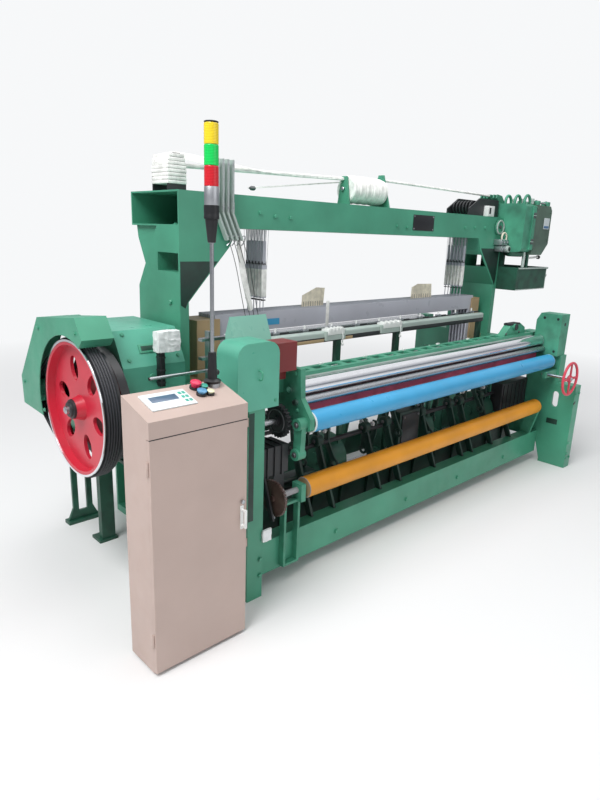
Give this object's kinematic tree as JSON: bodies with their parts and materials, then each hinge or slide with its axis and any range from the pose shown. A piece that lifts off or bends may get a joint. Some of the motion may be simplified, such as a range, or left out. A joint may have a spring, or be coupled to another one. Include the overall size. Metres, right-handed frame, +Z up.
{
  "type": "shuttleless rapier loom",
  "caption": "Weaving machine with side frames, top beam, heddle frames, front rollers, flywheel drive, dobby and a control cabinet.",
  "frame": {"origin": "centre of the front left anchor bolt hole, on the floor", "axes": "+X along the loom from the drive end to the dobby end, +Y from the weaver's side to the warp side, +Z up"},
  "size_m": [4.146, 1.559, 2.09],
  "materials": {
    "machine_green": "semi-gloss machine enamel",
    "cabinet_beige": "satin powder coat",
    "safety_red": "gloss enamel",
    "roller_blue": "gloss enamel",
    "roller_orange": "gloss enamel",
    "roller_maroon": "grained rubber cover",
    "chrome_plate": "hard chrome",
    "bright_steel": "turned steel",
    "dark_iron": "dark oiled casting",
    "bare_aluminium": "drawn aluminium",
    "belt_rubber": "dull rubber",
    "cream_paint": "satin enamel",
    "white_paint": "satin enamel",
    "lamp_plastic": "translucent lamp rings"
  },
  "bodies": {
    "machine": {"left_side_frame": "machine_green", "right_side_frame": "machine_green", "front_cross_beam": "machine_green", "middle_cross_beam": "machine_green", "rear_cross_beam": "machine_green", "breast_beam": "machine_green", "left_column": "machine_green", "right_column": "machine_green", "top_beam": "machine_green", "left_roller_bracket": "machine_green", "right_end_casting": "machine_green", "cloth_brackets": "machine_green", "belt_guard": "machine_green", "gearbox": "machine_green", "drive_stand": "machine_green", "gear_cover": "machine_green", "slanted_cover": "machine_green", "drive_motor": "machine_green", "dobby_housing": "machine_green", "dobby_tray": "machine_green", "heddle_guides": "machine_green", "cam_casings": "machine_green", "breast_castings": "machine_green", "cabinet_body": "cabinet_beige", "console": "cabinet_beige", "feeler_box": "safety_red", "back_rest": "bright_steel", "link_rods": "bright_steel", "tower_pole": "bright_steel", "rapier_guide": "bright_steel", "take_up_gearbox": "dark_iron", "pulley_block": "dark_iron", "middle_roll_brackets": "dark_iron", "left_jack_stack": "dark_iron", "front_jack_levers": "dark_iron", "warp_beam": "bare_aluminium", "drive_belt": "belt_rubber", "dobby_end_cover": "white_paint", "middle_roll": "white_paint", "tower_lamps": "lamp_plastic"},
    "sley_assembly": {"rocking_shaft": "bright_steel", "sley": "machine_green", "sley_rail": "cream_paint"},
    "drive_wheel": {"flywheel": "safety_red", "brake_drum": "dark_iron", "main_shaft": "bright_steel"},
    "door": {"cabinet_door": "cabinet_beige"},
    "hand_wheel": {"handwheel": "safety_red"},
    "gear_shaft": {"take_up_gear": "dark_iron"},
    "chrome_roll": {"chrome_roller": "chrome_plate"},
    "guide_roll": {"guide_roller": "chrome_plate"},
    "take_up_roll": {"take_up_roller": "roller_maroon"},
    "press_roll": {"press_roller": "roller_blue"},
    "cloth_roll": {"cloth_roller": "roller_orange"},
    "harness_1": {"heddle_frame_1": "bare_aluminium"},
    "harness_2": {"heddle_frame_2": "bare_aluminium"},
    "harness_3": {"heddle_frame_3": "bare_aluminium"},
    "harness_4": {"heddle_frame_4": "bare_aluminium"},
    "harness_5": {"heddle_frame_5": "bare_aluminium"},
    "harness_6": {"heddle_frame_6": "bare_aluminium"}
  },
  "joints": [
    {"name": "sley_swing", "type": "hinge", "parent": "machine", "child": "sley_assembly", "pos_m": [1.5, 0.43, 0.25], "axis": [1, 0, 0], "range_deg": [-5, 10]},
    {"name": "door_hinge", "type": "hinge", "parent": "machine", "child": "door", "pos_m": [-0.621, -0.232, 0.5], "axis": [0, 0, -1], "range_deg": [0, 110]},
    {"name": "flywheel_spin", "type": "hinge", "parent": "machine", "child": "drive_wheel", "pos_m": [-0.5, 0.572, 0.899], "axis": [1, 0, 0], "continuous": true},
    {"name": "handwheel_spin", "type": "hinge", "parent": "machine", "child": "hand_wheel", "pos_m": [2.786, -0.28, 0.744], "axis": [0, 1, 0], "continuous": true},
    {"name": "take_up_gear_spin", "type": "hinge", "parent": "machine", "child": "gear_shaft", "pos_m": [0.2, 0.045, 0.83], "axis": [1, 0, 0], "continuous": true},
    {"name": "chrome_roller_spin", "type": "hinge", "parent": "machine", "child": "chrome_roll", "pos_m": [1.6, 0.04, 0.975], "axis": [1, 0, 0], "continuous": true},
    {"name": "guide_roller_spin", "type": "hinge", "parent": "machine", "child": "guide_roll", "pos_m": [1.6, 0, 0.918], "axis": [1, 0, 0], "continuous": true},
    {"name": "take_up_roller_spin", "type": "hinge", "parent": "machine", "child": "take_up_roll", "pos_m": [1.6, 0.115, 0.858], "axis": [1, 0, 0], "continuous": true},
    {"name": "press_roller_spin", "type": "hinge", "parent": "machine", "child": "press_roll", "pos_m": [1.6, -0.06, 0.828], "axis": [1, 0, 0], "continuous": true},
    {"name": "cloth_roller_spin", "type": "hinge", "parent": "machine", "child": "cloth_roll", "pos_m": [1.6, -0.04, 0.48], "axis": [1, 0, 0], "continuous": true},
    {"name": "harness_1_lift", "type": "slide", "parent": "machine", "child": "harness_1", "axis": [0, 0, 1], "range_m": [0, 0.06]},
    {"name": "harness_2_lift", "type": "slide", "parent": "machine", "child": "harness_2", "axis": [0, 0, 1], "range_m": [0, 0.06]},
    {"name": "harness_3_lift", "type": "slide", "parent": "machine", "child": "harness_3", "axis": [0, 0, 1], "range_m": [0, 0.06]},
    {"name": "harness_4_lift", "type": "slide", "parent": "machine", "child": "harness_4", "axis": [0, 0, 1], "range_m": [0, 0.06]},
    {"name": "harness_5_lift", "type": "slide", "parent": "machine", "child": "harness_5", "axis": [0, 0, 1], "range_m": [0, 0.06]},
    {"name": "harness_6_lift", "type": "slide", "parent": "machine", "child": "harness_6", "axis": [0, 0, 1], "range_m": [0, 0.06]}
  ]
}
